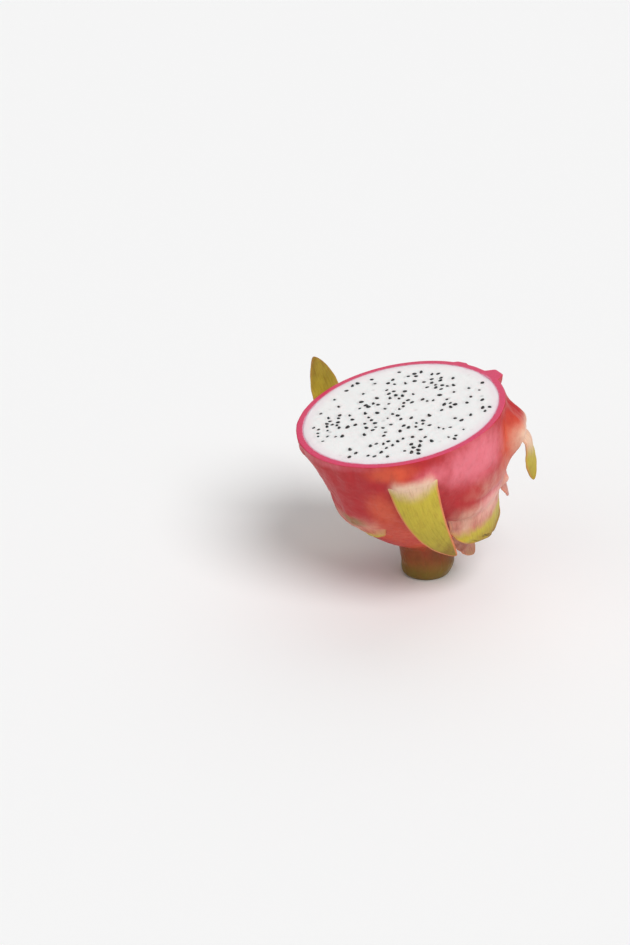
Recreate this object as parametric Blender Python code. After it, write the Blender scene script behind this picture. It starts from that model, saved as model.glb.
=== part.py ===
"""Half a white-fleshed dragon fruit, cut across its middle, resting on its blossom end.

The fruit is modelled about its own axis, with the cut face at depth 0 and depth
growing towards the blossom end. An empty then leans that axis to the left and
forwards, and stands the flat foot on Z = 0. Sizes are in metres, angles in degrees.
"""

import math
from typing import NamedTuple

import bpy
import numpy as np
from mathutils import Matrix, Vector

# Body of the fruit
CUT_RADIUS = 0.0449
BOWL_DEPTH = 0.0630
BOWL_FULLNESS = 1.8
SNOUT_RADIUS = 0.0112
SNOUT_BLEND = 0.0045
SNOUT_BLEND_ZONE = (0.4, 0.8)  # shares of the bowl's depth
SNOUT_SHIFT = (-0.0004, -0.0014)
SNOUT_SHIFT_ZONE = (0.6, 0.95)  # shares of the foot's depth
FOOT_DEPTH = 0.0792
FOOT_RADIUS = 0.0092
FOOT_ROUNDING = 0.0075
FOOT_SHIFT = -0.0018  # to the left, of the foot under the snout
FOOT_LEVELLING = 6  # power by which the rows turn level with the floor on their way down
FLAT_SIDE_SINK = 0.0033
FLAT_SIDE_AZIMUTH = -94
FLAT_SIDE_DEPTH = 0.0225
FLAT_SIDE_REACH = 0.0180
FLAT_SIDE_SPREAD = 50

# Rind and flesh
RIND_AT_CUT = 0.0030
RIND_AT_BLOSSOM_END = 0.0070
GAP = 0.0003

# Lean of the fruit's axis at rest
LEAN_LEFT = 10.1
LEAN_FORWARD = 3.7

# Mesh fineness
AROUND = 80
SKIN_ROWS = 32
CAVITY_ROWS = 8
BLADE_ROWS = 9
ROOT_ROWS = 2
BLADE_ACROSS = 6
MERIDIAN_SAMPLES = 600
COURSE_SAMPLES = 200

# Swellings of the skin under the scales
ATTACHMENT_BOW = 0.0030
TONGUE_NARROWING = 0.5  # share of its width that a tongue loses towards the cut
TONGUE_FLAT = 0.4  # share of its width that is flat on top
TONGUE_END_ZONE = (0.86, 0.97)  # shares of the foot's depth, over which they die out

# Blades of the scales
EDGE_THICKNESS = 0.0008
TIP_SHARE = 0.07
TIP_ROUNDING = 0.7
THINNING = 1.2
TWISTING = 1.5
MARGIN_TUCK = 0.0010
MARGIN_FREE = 0.3  # share of the length by which the margins stand free
LIFT_DONE = 0.22  # share of the length by which the lift is done
CURL_START = 0.1
WAVE_SHARE = 0.045
WAVES = 1.6
ROOT_INSET = 0.0005
ROOT_LENGTH = 0.5  # share of the tongue's rise
ROOT_BELOW_CUT = 0.0020
ROOT_NARROWING = 0.5
ROOT_THINNING = 0.3

# Seeds on the cut face
SEED_COUNT = 165
SEED_DRAW = 1472
SEED_HALF_LENGTH = 0.00105
SEED_HALF_WIDTH = 0.00068
SEED_HALF_HEIGHT = 0.00050
SEED_TAPER = 0.25
SEED_SUNK = 0.00010
SEED_SPACING = 0.0023
SEED_FREE_MARGIN = 0.0030
SEED_CLUSTERS = 26
SEED_CLUSTER_REACH = 0.0042
SEED_BETWEEN_CLUSTERS = 0.22  # share of the density at a cluster's middle

RIND_COLOUR = (0.72, 0.10, 0.16, 1.0)
FLESH_COLOUR = (0.93, 0.90, 0.90, 1.0)


class Scale(NamedTuple):
    """One leafy scale of the rind: a swelling of the skin, and the free blade that leaves it.

    A swelling with no blade has length 0, as where the knife took the blade away.
    """

    azimuth: float  # round the axis from the front, to the right
    depth: float  # below the cut, where the blade leaves the skin
    width: float  # across the blade, where it leaves
    swell: float  # height of the swelling where the blade leaves
    rise: float  # length over which the skin rises to it, from the cut's side
    length: float = 0.0  # of the free blade
    lift: float = 0.0  # away from straight down the axis, once it has left
    curl: float = 0.0  # further turn outwards by the tip
    hook: float = 1.0  # share of the length by which the curl is done
    sway: float = 0.0  # turn to the right by the tip
    twist: float = 0.0  # about its own course by the tip
    thick: float = 0.0028  # of the blade at its root
    full: float = 1.5  # how far the blade keeps its width before it narrows
    fall: float = 0.0050  # length over which the swelling drops away again
    spread: float = 1.25  # width of the swelling, in widths of the blade


SCALES = {
    "front": Scale(
        4, 0.0110, 0.0205, swell=0.0026, rise=0.0100, length=0.0450, lift=2, curl=-26, sway=33
    ),
    "right_drooping": Scale(
        88, 0.0150, 0.0120, swell=0.0085, rise=0.0140, length=0.0270, lift=48, curl=-50,
        hook=0.35, twist=50, thick=0.0040, full=2.4, fall=0.0200, spread=2.2,
    ),
    "right_shoulder": Scale(62, 0.0290, 0.0400, swell=0.0024, rise=0.0250, fall=0.0050),
    "back_left_upright": Scale(
        219, 0.0120, 0.0165, swell=0.0030, rise=0.0110, length=0.0385, lift=85, curl=90,
        hook=0.4, sway=-8, full=2.8,
    ),
    "left_margin": Scale(
        256, 0.0050, 0.0250, swell=0.0008, rise=0.0050, length=0.0260, lift=-22,
        thick=0.0022, full=2.4,
    ),
    "lower_right": Scale(
        58, 0.0380, 0.0430, swell=0.0040, rise=0.0200, length=0.0180, lift=-5, curl=2,
        sway=12, thick=0.0032, full=3.4,
    ),
    "lower_left": Scale(
        -50, 0.0350, 0.0380, swell=0.0020, rise=0.0180, length=0.0105, lift=-38, sway=-24,
        full=2.4,
    ),
    "right_bulge": Scale(
        93, 0.0385, 0.0170, swell=0.0056, rise=0.0070, length=0.0110, lift=16, curl=-10,
        thick=0.0036, full=2.2, fall=0.0100, spread=1.6,
    ),
    "rim_corner": Scale(117, 0.0005, 0.0100, swell=0.0038, rise=0.0300, fall=0.0110),
    "rim_bump": Scale(143, 0.0030, 0.0080, swell=0.0012, rise=0.0100),
    "back_right": Scale(
        140, 0.0230, 0.0230, swell=0.0030, rise=0.0170, length=0.0320, lift=6, curl=-20,
        sway=-10, full=1.8,
    ),
    "back": Scale(
        184, 0.0340, 0.0240, swell=0.0030, rise=0.0180, length=0.0330, lift=-4, curl=-20,
        sway=8, full=1.8,
    ),
    "back_left_low": Scale(
        236, 0.0360, 0.0230, swell=0.0026, rise=0.0170, length=0.0250, lift=-14, curl=-16,
        sway=10, full=1.8,
    ),
    "snout_right": Scale(
        74, 0.0560, 0.0220, swell=0.0020, rise=0.0090, length=0.0160, lift=14, curl=-4, full=2.8
    ),
    "snout_back": Scale(
        175, 0.0600, 0.0150, swell=0.0016, rise=0.0100, length=0.0140, lift=6, curl=-8, full=1.8
    ),
}


def clear_scene():
    for obj in list(bpy.data.objects):
        bpy.data.objects.remove(obj)


def smooth_step(low, high, x):
    t = np.clip((x - low) / (high - low), 0, 1)
    return t * t * (3 - 2 * t)


def skin_radius(depth):
    """Radius of the bare body: a superellipse bowl that runs out into the blossom-end snout."""
    share = np.clip(depth / BOWL_DEPTH, 0, 1)
    bowl = CUT_RADIUS * (1 - share**BOWL_FULLNESS) ** (1 / BOWL_FULLNESS)
    gap = bowl - SNOUT_RADIUS
    joined = 0.5 * (bowl + SNOUT_RADIUS + np.sqrt(gap**2 + SNOUT_BLEND**2))
    return bowl + (joined - bowl) * smooth_step(*SNOUT_BLEND_ZONE, depth / BOWL_DEPTH)


def skin_slope(depth):
    """Angle in degrees of the bare body's outline from straight down the axis, outwards positive."""
    step = 0.0005
    rise = skin_radius(depth + step) - skin_radius(depth - step)
    return math.degrees(math.atan2(rise, 2 * step))


def skin_course():
    """Depth and radius down one meridian, evenly spaced along it, ending at the foot's rounding."""
    depth = np.linspace(0, FOOT_DEPTH, MERIDIAN_SAMPLES)
    radius = skin_radius(depth)
    into_foot = np.clip((depth - FOOT_DEPTH + FOOT_ROUNDING) / FOOT_ROUNDING, 0, 1)
    rounding = 1 - np.sqrt(1 - into_foot**2)
    radius = radius + (FOOT_RADIUS - radius) * rounding
    run = np.concatenate([[0], np.cumsum(np.hypot(np.diff(depth), np.diff(radius)))])
    stations = np.linspace(0, run[-1], SKIN_ROWS)
    return np.interp(stations, run, depth), np.interp(stations, run, radius)


def turn_from(start, azimuth):
    """Signed turn in radians from a start in degrees to an azimuth in radians, the short way."""
    return (azimuth - math.radians(start) + math.pi) % (2 * math.pi) - math.pi


def flat_side(azimuth, depth):
    """How far the fruit's left side is pressed in: one soft hollow, round in both directions."""
    around = turn_from(FLAT_SIDE_AZIMUTH, azimuth) / math.radians(FLAT_SIDE_SPREAD)
    down = (depth - FLAT_SIDE_DEPTH) / FLAT_SIDE_REACH
    window = np.clip(1 - around**2, 0, 1) * np.clip(1 - down**2, 0, 1)
    return FLAT_SIDE_SINK * window * (2 - window)


def tongue_height(scale, beyond):
    """Height along the middle of a scale's swelling, beyond the line where its blade leaves."""
    return scale.swell * smooth_step(-scale.rise, 0, beyond) * (1 - smooth_step(0, scale.fall, beyond))


def swelling(azimuth, depth):
    """Height added to the skin by the scales' roots: each is a flat-topped tongue that widens
    and rises towards the bowed line where its blade leaves, and drops away beyond it."""
    height = np.zeros(np.broadcast(azimuth, depth).shape)
    for scale in SCALES.values():
        lateral = turn_from(scale.azimuth, azimuth) * skin_radius(scale.depth)
        narrowing = 1 - TONGUE_NARROWING * np.clip((scale.depth - depth) / scale.rise, 0, 1)
        across = lateral / (0.5 * scale.spread * scale.width * narrowing)
        side = 1 - smooth_step(TONGUE_FLAT, 1, np.abs(across))
        tongue = tongue_height(scale, depth - scale.depth + ATTACHMENT_BOW * across**2) * side
        height = np.sqrt(height**2 + tongue**2)
    return height * (1 - smooth_step(*TONGUE_END_ZONE, depth / FOOT_DEPTH))


def lean():
    """Turn from the fruit's own axes to the resting ones."""
    left, forward = math.tan(math.radians(LEAN_LEFT)), math.tan(math.radians(LEAN_FORWARD))
    axis = Vector((-left, -forward, 1)).normalized()
    return Vector((0, 0, 1)).rotation_difference(axis).to_matrix()


def foot_depth(x, y):
    """Depth at which the floor lies below the point x, y of the fruit's own axes."""
    up = lean().transposed() @ Vector((0, 0, 1))
    return FOOT_DEPTH + (up.x * x + up.y * y) / up.z


def grid_faces(rows, columns):
    """Quads of a grid that closes on itself round its columns."""
    faces = []
    for row in range(rows - 1):
        for column in range(columns):
            a = row * columns + column
            b = row * columns + (column + 1) % columns
            faces.append((a, b, b + columns, a + columns))
    return faces


def new_object(name, points, faces, collection=None):
    mesh = bpy.data.meshes.new(name)
    mesh.from_pydata([tuple(p) for p in points], [], faces)
    mesh.update()
    obj = bpy.data.objects.new(name, mesh)
    (collection or bpy.context.scene.collection).objects.link(obj)
    return obj


def turned(depth, radius, azimuth):
    """Points at this depth and radius round the axis, one row for each depth, with the flat
    side pressed in and the snout and foot set aside."""
    radius = radius - flat_side(azimuth, depth)
    aside = smooth_step(*SNOUT_SHIFT_ZONE, depth / FOOT_DEPTH)
    at_foot = smooth_step(FOOT_DEPTH - FOOT_ROUNDING, FOOT_DEPTH, depth)
    x = radius * np.sin(azimuth) + SNOUT_SHIFT[0] * aside + FOOT_SHIFT * at_foot
    y = -radius * np.cos(azimuth) + SNOUT_SHIFT[1] * aside
    return np.stack([x, y, -np.broadcast_to(depth, x.shape)], axis=-1)


def cavity_course(inset):
    """Depth and radius down the rind's inner wall, or the flesh's outside where inset is the gap."""
    reach = BOWL_DEPTH - RIND_AT_BLOSSOM_END - inset
    radius = CUT_RADIUS - RIND_AT_CUT - inset
    turn = np.linspace(0, math.pi / 2, CAVITY_ROWS + 1)[:-1]
    power = 2 / BOWL_FULLNESS
    return reach * np.sin(turn) ** power, radius * np.cos(turn) ** power, reach


def make_rind_cup():
    """The rind without its blades: skin outside, cavity inside, a flat ring at the cut and a flat foot."""
    azimuth = np.linspace(0, 2 * math.pi, AROUND, endpoint=False)[None, :]
    depth, radius = (values[:, None] for values in skin_course())
    skin = turned(depth, radius + swelling(azimuth, depth), azimuth)
    level = (depth / FOOT_DEPTH) ** FOOT_LEVELLING
    skin[..., 2] -= level * (foot_depth(skin[..., 0], skin[..., 1]) - FOOT_DEPTH)
    inner_depth, inner_radius, reach = cavity_course(0)
    inner = turned(inner_depth[::-1, None], inner_radius[::-1, None], azimuth)
    points = np.concatenate([inner.reshape(-1, 3), skin.reshape(-1, 3), [[0, 0, -reach]]])
    rows = CAVITY_ROWS + SKIN_ROWS
    faces = grid_faces(rows, AROUND)
    bottom = len(points) - 1
    faces += [(bottom, (i + 1) % AROUND, i) for i in range(AROUND)]
    last = (rows - 1) * AROUND
    faces.append(tuple(range(last, last + AROUND)))
    return new_object("rind", points, [face[::-1] for face in faces])


def blade_course(scale):
    """Centre line of a blade in its own axes (down, right, out) from its root to its tip, with
    the angles outwards and to the right that it runs at. Its share runs from -1 at the top of
    the root, through 0 where the blade leaves, to 1 at the tip."""
    share = np.concatenate(
        [np.linspace(-1, 0, ROOT_ROWS, endpoint=False), np.linspace(0, 1, BLADE_ROWS + 1)]
    )
    free, back = np.clip(share, 0, 1), np.clip(-share, 0, 1)
    fine = np.linspace(0, 1, COURSE_SAMPLES)
    slope = skin_slope(scale.depth)
    out = slope + (scale.lift - slope) * smooth_step(0, LIFT_DONE, fine)
    out = np.radians(out + scale.curl * smooth_step(CURL_START, scale.hook, fine))
    side = np.radians(scale.sway * fine)
    heading = np.stack([np.cos(out) * np.cos(side), np.cos(out) * np.sin(side), np.sin(out)], 1)
    steps = 0.5 * (heading[1:] + heading[:-1]) * scale.length / (COURSE_SAMPLES - 1)
    path = np.concatenate([[[0, 0, 0]], np.cumsum(steps, 0)])
    course = np.stack([np.interp(free, fine, path[:, k]) for k in range(3)], 1)
    root = back * min(ROOT_LENGTH * scale.rise, scale.depth - ROOT_BELOW_CUT)
    top = skin_radius(scale.depth - root) + tongue_height(scale, -root)
    half_thick = scale.thick / 2 * (1 - ROOT_THINNING * back)
    course += np.stack([scale.depth - root, 0 * root, top - ROOT_INSET * back - half_thick], 1)
    return share, course, np.interp(free, fine, out), np.interp(free, fine, side)


def blade_points(name, scale):
    """Rings of points round a blade: a leaf wrapped round the fruit, which narrows to its tip,
    thick in the middle and thin at its waved edges."""
    share, course, out, side = blade_course(scale)
    free, back = np.clip(share, 0, 1), np.clip(-share, 0, 1)
    narrow = TIP_SHARE + (1 - TIP_SHARE) * (1 - free**scale.full) ** TIP_ROUNDING
    half = 0.5 * scale.width * narrow * (1 - ROOT_NARROWING * back)
    twist = np.radians(scale.twist) * free**TWISTING
    along = np.stack([-np.sin(out) * np.cos(side), -np.sin(out) * np.sin(side), np.cos(out)], 1)
    across = np.stack([-np.sin(side), np.cos(side), 0 * side], 1)
    wide = np.cos(twist)[:, None] * across + np.sin(twist)[:, None] * along
    face = np.cos(twist)[:, None] * along - np.sin(twist)[:, None] * across
    u = np.linspace(-1, 1, BLADE_ACROSS)
    u = np.concatenate([u, u[::-1]])[None, :]
    sign = np.repeat([1, -1], BLADE_ACROSS)[None, :]
    extra = (scale.thick - EDGE_THICKNESS) * (1 - free) ** THINNING
    thickness = EDGE_THICKNESS + extra[:, None] * (1 - u**2)
    bend = skin_radius(scale.depth)
    turn = u * half[:, None] / bend
    wave = WAVE_SHARE * half * np.sin(2 * math.pi * WAVES * free + len(name))
    wave = wave * smooth_step(0, 2 * MARGIN_FREE, free)
    tuck = MARGIN_TUCK * (1 - smooth_step(0, MARGIN_FREE, free))
    offset = sign * thickness / 2 - bend * (1 - np.cos(turn))
    offset = offset + wave[:, None] * u**3 - tuck[:, None] * u**2
    local = course[:, None, :] + (bend * np.sin(turn))[..., None] * wide[:, None, :]
    local = local + offset[..., None] * face[:, None, :]
    bow = ATTACHMENT_BOW * (u / scale.spread) ** 2 * (1 - free)[:, None]
    down, right, outward = local[..., 0] - bow, local[..., 1], local[..., 2]
    azimuth = math.radians(scale.azimuth)
    x = outward * math.sin(azimuth) + right * math.cos(azimuth)
    y = -outward * math.cos(azimuth) + right * math.sin(azimuth)
    return np.stack([x, y, -down], axis=-1)


def blade_faces(rows, columns):
    """Triangles round a blade, split alike on its two faces, with its ends closed."""
    faces = []
    for a, b, c, d in grid_faces(rows, columns):
        if a % columns < columns // 2:
            faces += [(c, b, a), (d, c, a)]
        else:
            faces += [(d, b, a), (d, c, b)]
    faces.append(tuple(range(columns)))
    faces.append(tuple(range((rows - 1) * columns, rows * columns))[::-1])
    return faces


def make_blade(name, scale, collection):
    rings = blade_points(name, scale)
    faces = blade_faces(*rings.shape[:2])
    new_object("scale_" + name, rings.reshape(-1, 3), faces, collection)


def join_by_union(target, collection):
    """Fuses a collection's objects into the target and removes them."""
    union = target.modifiers.new("grown together", "BOOLEAN")
    union.operand_type = "COLLECTION"
    union.collection = collection
    union.operation = "UNION"
    union.solver = "MANIFOLD"
    bpy.context.view_layer.update()
    graph = bpy.context.evaluated_depsgraph_get()
    fused = bpy.data.meshes.new_from_object(target.evaluated_get(graph), depsgraph=graph)
    target.modifiers.clear()
    target.data = fused
    for obj in list(collection.objects):
        bpy.data.objects.remove(obj)
    bpy.data.collections.remove(collection)


def new_collection(name):
    collection = bpy.data.collections.new(name)
    bpy.context.scene.collection.children.link(collection)
    return collection


def make_rind():
    rind = make_rind_cup()
    scales = new_collection("scales")
    for name, scale in SCALES.items():
        if scale.length:
            make_blade(name, scale, scales)
    join_by_union(rind, scales)
    return rind


def seed_places():
    """Centre and turn of each seed: drawn at random over the face, denser about the middles of
    clusters that are drawn first, and none closer than the spacing."""
    draw = np.random.default_rng(SEED_DRAW)
    reach = CUT_RADIUS - RIND_AT_CUT - GAP - SEED_FREE_MARGIN
    middles = draw.uniform(-reach, reach, (SEED_CLUSTERS, 2))
    places = np.empty((0, 2))
    while len(places) < SEED_COUNT:
        spot = draw.uniform(-reach, reach, 2)
        nearest = np.hypot(*(middles - spot).T).min()
        density = max(SEED_BETWEEN_CLUSTERS, math.exp(-((nearest / SEED_CLUSTER_REACH) ** 2)))
        clear = np.hypot(*(places - spot).T) > SEED_SPACING
        if np.hypot(*spot) < reach and clear.all() and draw.uniform() < density:
            places = np.vstack([places, spot])
    return places, draw.uniform(0, 2 * math.pi, SEED_COUNT)


def make_seed(index, place, turn, collection):
    """A small drop standing a little proud of the face, blunt at one end."""
    bpy.ops.mesh.primitive_ico_sphere_add(subdivisions=1, radius=1)
    seed = bpy.context.object
    seed.name = f"seed_{index:03d}"
    for vertex in seed.data.vertices:
        taper = 1 - SEED_TAPER * vertex.co.x
        vertex.co.y *= taper
        vertex.co.z *= taper
    size = Matrix.Diagonal((SEED_HALF_LENGTH, SEED_HALF_WIDTH, SEED_HALF_HEIGHT, 1))
    put = Matrix.Translation((place[0], place[1], -SEED_SUNK)) @ Matrix.Rotation(turn, 4, "Z")
    seed.data.transform(put @ size)
    for holder in list(seed.users_collection):
        holder.objects.unlink(seed)
    collection.objects.link(seed)


def make_flesh():
    """The pulp that fills the rind, with the seeds that its cut face shows."""
    azimuth = np.linspace(0, 2 * math.pi, AROUND, endpoint=False)[None, :]
    depth, radius, reach = cavity_course(GAP)
    wall = turned(depth[:, None], radius[:, None], azimuth)
    points = np.concatenate([wall.reshape(-1, 3), [[0, 0, -reach]]])
    faces = [face[::-1] for face in grid_faces(CAVITY_ROWS, AROUND)]
    last = (CAVITY_ROWS - 1) * AROUND
    faces += [(len(points) - 1, last + (i + 1) % AROUND, last + i) for i in range(AROUND)]
    faces.append(tuple(range(AROUND)))
    flesh = new_object("flesh", points, faces)
    seeds = new_collection("seeds")
    for index, (place, turn) in enumerate(zip(*seed_places())):
        make_seed(index, place, turn, seeds)
    join_by_union(flesh, seeds)
    return flesh


def new_material(name, colour, roughness):
    material = bpy.data.materials.new(name)
    material.use_nodes = True
    shader = material.node_tree.nodes["Principled BSDF"]
    shader.inputs["Base Color"].default_value = colour
    shader.inputs["Roughness"].default_value = roughness
    shader.inputs["Metallic"].default_value = 0.0
    return material


def set_finish(obj, material, sharp_angle):
    obj.data.materials.clear()
    obj.data.materials.append(material)
    obj.data.shade_smooth()
    obj.data.set_sharp_from_angle(angle=math.radians(sharp_angle))


def stand_on_foot(pieces):
    """Leans the pieces on one empty, and puts the middle of their box above the origin."""
    holder = bpy.data.objects.new("fruit_axis", None)
    bpy.context.scene.collection.objects.link(holder)
    turn = lean()
    points = np.array([turn @ vertex.co for piece in pieces for vertex in piece.data.vertices])
    middle = (points.min(0) + points.max(0)) / 2
    foot = turn @ Vector((0, 0, -FOOT_DEPTH))
    place = Vector((-middle[0], -middle[1], -foot.z))
    holder.matrix_world = Matrix.Translation(place) @ turn.to_4x4()
    for piece in pieces:
        piece.parent = holder


def main():
    clear_scene()
    rind = make_rind()
    flesh = make_flesh()
    set_finish(rind, new_material("rind", RIND_COLOUR, 0.45), 50)
    set_finish(flesh, new_material("flesh", FLESH_COLOUR, 0.35), 40)
    stand_on_foot([rind, flesh])


main()
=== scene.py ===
"""Looks of half a dragon fruit that stands on its blossom end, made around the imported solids.

Every shape is worked out about the fruit's own axis, with the cut face at depth 0 and depth
growing towards the blossom end, and is then leaned and set down in the frame. Sizes are in
metres, angles in degrees, colours are linear.
"""

import math
from typing import NamedTuple

import bpy
import numpy as np
from mathutils import Euler, Matrix, Vector


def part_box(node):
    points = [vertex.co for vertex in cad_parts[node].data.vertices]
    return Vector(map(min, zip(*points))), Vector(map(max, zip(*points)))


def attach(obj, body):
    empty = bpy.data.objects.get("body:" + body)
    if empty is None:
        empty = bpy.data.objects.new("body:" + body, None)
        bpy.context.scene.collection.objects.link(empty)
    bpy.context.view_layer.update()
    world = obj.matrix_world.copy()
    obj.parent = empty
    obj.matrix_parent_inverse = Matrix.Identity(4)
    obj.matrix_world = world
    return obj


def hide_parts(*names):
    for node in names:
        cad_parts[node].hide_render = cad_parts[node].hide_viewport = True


bl_info = {
    "name": "Dragon fruit half",
    "version": (1, 0, 0),
    "blender": (4, 5, 0),
    "location": "3D View > Sidebar > Dragon fruit",
    "description": "Grows the rind, scales, pulp and seeds of half a dragon fruit, and lights it",
    "category": "Object",
}

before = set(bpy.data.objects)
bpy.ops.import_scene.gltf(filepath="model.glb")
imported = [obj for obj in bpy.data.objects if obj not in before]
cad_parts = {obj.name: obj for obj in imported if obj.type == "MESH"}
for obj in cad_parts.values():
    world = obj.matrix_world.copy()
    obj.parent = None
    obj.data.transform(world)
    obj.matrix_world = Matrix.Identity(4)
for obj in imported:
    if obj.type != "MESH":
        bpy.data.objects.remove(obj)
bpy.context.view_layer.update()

# Snout, foot and flat side of the fruit's body, as on the solids
SNOUT_RADIUS = 0.0112
SNOUT_BLEND = 0.0045
SNOUT_BLEND_ZONE = (0.4, 0.8)
SNOUT_SHIFT = (-0.0004, -0.0014)
SNOUT_SHIFT_ZONE = (0.6, 0.95)
FOOT_RADIUS = 0.0092
FOOT_ROUNDING = 0.0075
FOOT_SHIFT = -0.0018
FOOT_LEVELLING = 6
FLAT_SIDE_SINK = 0.0033
FLAT_SIDE_AZIMUTH = -94
FLAT_SIDE_DEPTH = 0.0225
FLAT_SIDE_REACH = 0.0180
FLAT_SIDE_SPREAD = 50

# Swellings under the scales, and the courses of their blades, as on the solids
ATTACHMENT_BOW = 0.0030
TONGUE_NARROWING = 0.5
TONGUE_FLAT = 0.4
TONGUE_END_ZONE = (0.86, 0.97)
TIP_ROUNDING = 0.7
THINNING = 1.2
TWISTING = 1.5
LIFT_DONE = 0.22
CURL_START = 0.1
WAVE_SHARE = 0.045
WAVES = 1.6
MARGIN_FREE = 0.3
ROOT_LENGTH = 0.5
ROOT_BELOW_CUT = 0.0020
ROOT_NARROWING = 0.5
ROOT_THINNING = 0.3

# Fineness of the surfaces
AROUND = 440
SKIN_ROWS = 180
RIM_ROWS = 8
CAVITY_ROWS = 10
FOOT_ROWS = 5
BLADE_ROWS = 72
BLADE_ROOT_ROWS = 10
BLADE_LOOP = 92
PULP_RINGS = 108
SEED_RINGS = 6
SEED_SIDES = 8
MERIDIAN_SAMPLES = 900
COURSE_SAMPLES = 300

# Finer relief than the solids have
CUT_EDGE_ROUNDING = 0.0004
BLADE_EDGE_THICKNESS = 0.0007
BLADE_EDGE_FULLNESS = 0.3
BLADE_ROOT_SUNK = 0.0004
BLADE_HELD = 0.2
FINE_WAVE_SHARE = 0.02
FINE_WAVES = 5.3
VEIN_HEIGHT = 0.00006
VEINS = 9

# Where the camera stood
CAMERA_ELEVATION = 25.0
CAMERA_DISTANCE = 0.942
CAMERA_LENS = 85.0
CAMERA_SENSOR = 36.0
PHOTO_SIZE = (630, 945)
CUT_CENTRE_PX = (400.2, 412.2)


class Scale(NamedTuple):
    """One leafy scale of the rind: its swelling of the skin, its free blade, and how it ripens."""

    azimuth: float  # round the axis from the front, to the right
    depth: float  # below the cut, where the blade leaves the skin
    width: float  # across the blade, where it leaves
    swell: float  # height of the swelling where the blade leaves
    rise: float  # length over which the skin rises to it, from the cut's side
    length: float = 0.0  # of the free blade
    lift: float = 0.0  # away from straight down the axis, once it has left
    curl: float = 0.0  # further turn outwards by the tip
    hook: float = 1.0  # share of the length by which the curl is done
    sway: float = 0.0  # turn to the right by the tip
    twist: float = 0.0  # about its own course by the tip
    thick: float = 0.0028  # of the blade at its root
    full: float = 1.5  # how far the blade keeps its width before it narrows
    fall: float = 0.0050  # length over which the swelling drops away again
    spread: float = 1.25  # width of the swelling, in widths of the blade
    pale: float = 0.7  # how pale the blade's base is
    green: tuple = (0.05, 0.35)  # shares of the length between which it turns green
    olive: float = 0.35  # how far it darkens to olive by the tip
    dry: float = 0.3  # how brown the tip is
    edge: float = 0.9  # how salmon the margins are
    rag: float = 0.0  # share of the length by which the tip is torn


SCALES = {
    "front": Scale(
        4, 0.0110, 0.0205, swell=0.0026, rise=0.0100, length=0.0450, lift=2, curl=-26, sway=33,
        pale=0.95, green=(0.0, 0.2), olive=0.45, dry=0.35, edge=1.0,
    ),
    "right_drooping": Scale(
        88, 0.0150, 0.0120, swell=0.0085, rise=0.0140, length=0.0270, lift=48, curl=-50,
        hook=0.35, twist=50, thick=0.0040, full=2.4, fall=0.0200, spread=2.2,
        pale=0.85, green=(0.25, 0.6), olive=0.2, dry=0.2, edge=0.3,
    ),
    "right_shoulder": Scale(62, 0.0290, 0.0400, swell=0.0024, rise=0.0250, fall=0.0050, pale=0.25),
    "back_left_upright": Scale(
        219, 0.0120, 0.0165, swell=0.0030, rise=0.0110, length=0.0385, lift=85, curl=90,
        hook=0.4, sway=-8, full=2.8, pale=0.6, green=(0.0, 0.25), olive=0.55, dry=0.45, edge=0.2,
    ),
    "left_margin": Scale(
        256, 0.0050, 0.0250, swell=0.0008, rise=0.0050, length=0.0260, lift=-22,
        thick=0.0022, full=2.4, pale=0.4, green=(0.3, 0.8), olive=0.1, dry=0.1, edge=1.0,
    ),
    "lower_right": Scale(
        58, 0.0380, 0.0430, swell=0.0040, rise=0.0200, length=0.0180, lift=-5, curl=2,
        sway=12, thick=0.0032, full=3.4, pale=0.5, green=(0.35, 0.65), olive=0.1, dry=0.6,
        edge=0.4, rag=0.09,
    ),
    "lower_left": Scale(
        -50, 0.0350, 0.0380, swell=0.0020, rise=0.0180, length=0.0105, lift=-38, sway=-24,
        full=2.4, pale=0.3, green=(0.2, 0.9), olive=0.0, dry=0.1, edge=0.5,
    ),
    "right_bulge": Scale(
        93, 0.0385, 0.0170, swell=0.0056, rise=0.0070, length=0.0110, lift=16, curl=-10,
        thick=0.0036, full=2.2, fall=0.0100, spread=1.6, pale=0.35, green=(2.0, 3.0),
        olive=0.0, dry=0.15, edge=0.3,
    ),
    "rim_corner": Scale(117, 0.0005, 0.0100, swell=0.0038, rise=0.0300, fall=0.0110, pale=0.0),
    "rim_bump": Scale(143, 0.0030, 0.0080, swell=0.0012, rise=0.0100, pale=0.2),
    "back_right": Scale(
        140, 0.0230, 0.0230, swell=0.0030, rise=0.0170, length=0.0320, lift=6, curl=-20,
        sway=-10, full=1.8,
    ),
    "back": Scale(
        184, 0.0340, 0.0240, swell=0.0030, rise=0.0180, length=0.0330, lift=-4, curl=-20,
        sway=8, full=1.8, green=(0.15, 0.5),
    ),
    "back_left_low": Scale(
        236, 0.0360, 0.0230, swell=0.0026, rise=0.0170, length=0.0250, lift=-14, curl=-16,
        sway=10, full=1.8,
    ),
    "snout_right": Scale(
        74, 0.0560, 0.0220, swell=0.0020, rise=0.0090, length=0.0160, lift=14, curl=-4,
        full=2.8, pale=0.4, green=(1.5, 2.5), olive=0.0, dry=0.35, edge=0.3,
    ),
    "snout_back": Scale(
        175, 0.0600, 0.0150, swell=0.0016, rise=0.0100, length=0.0140, lift=6, curl=-8,
        full=1.8, pale=0.3, green=(-0.5, 0.2), olive=0.6, dry=0.5, edge=0.3,
    ),
}


class Blush(NamedTuple):
    """A soft oval on the skin where it has ripened to another colour; one pink oval is partly a painted highlight."""

    azimuth: float
    depth: float
    half_turn: float
    half_depth: float
    strength: float = 1.0


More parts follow.
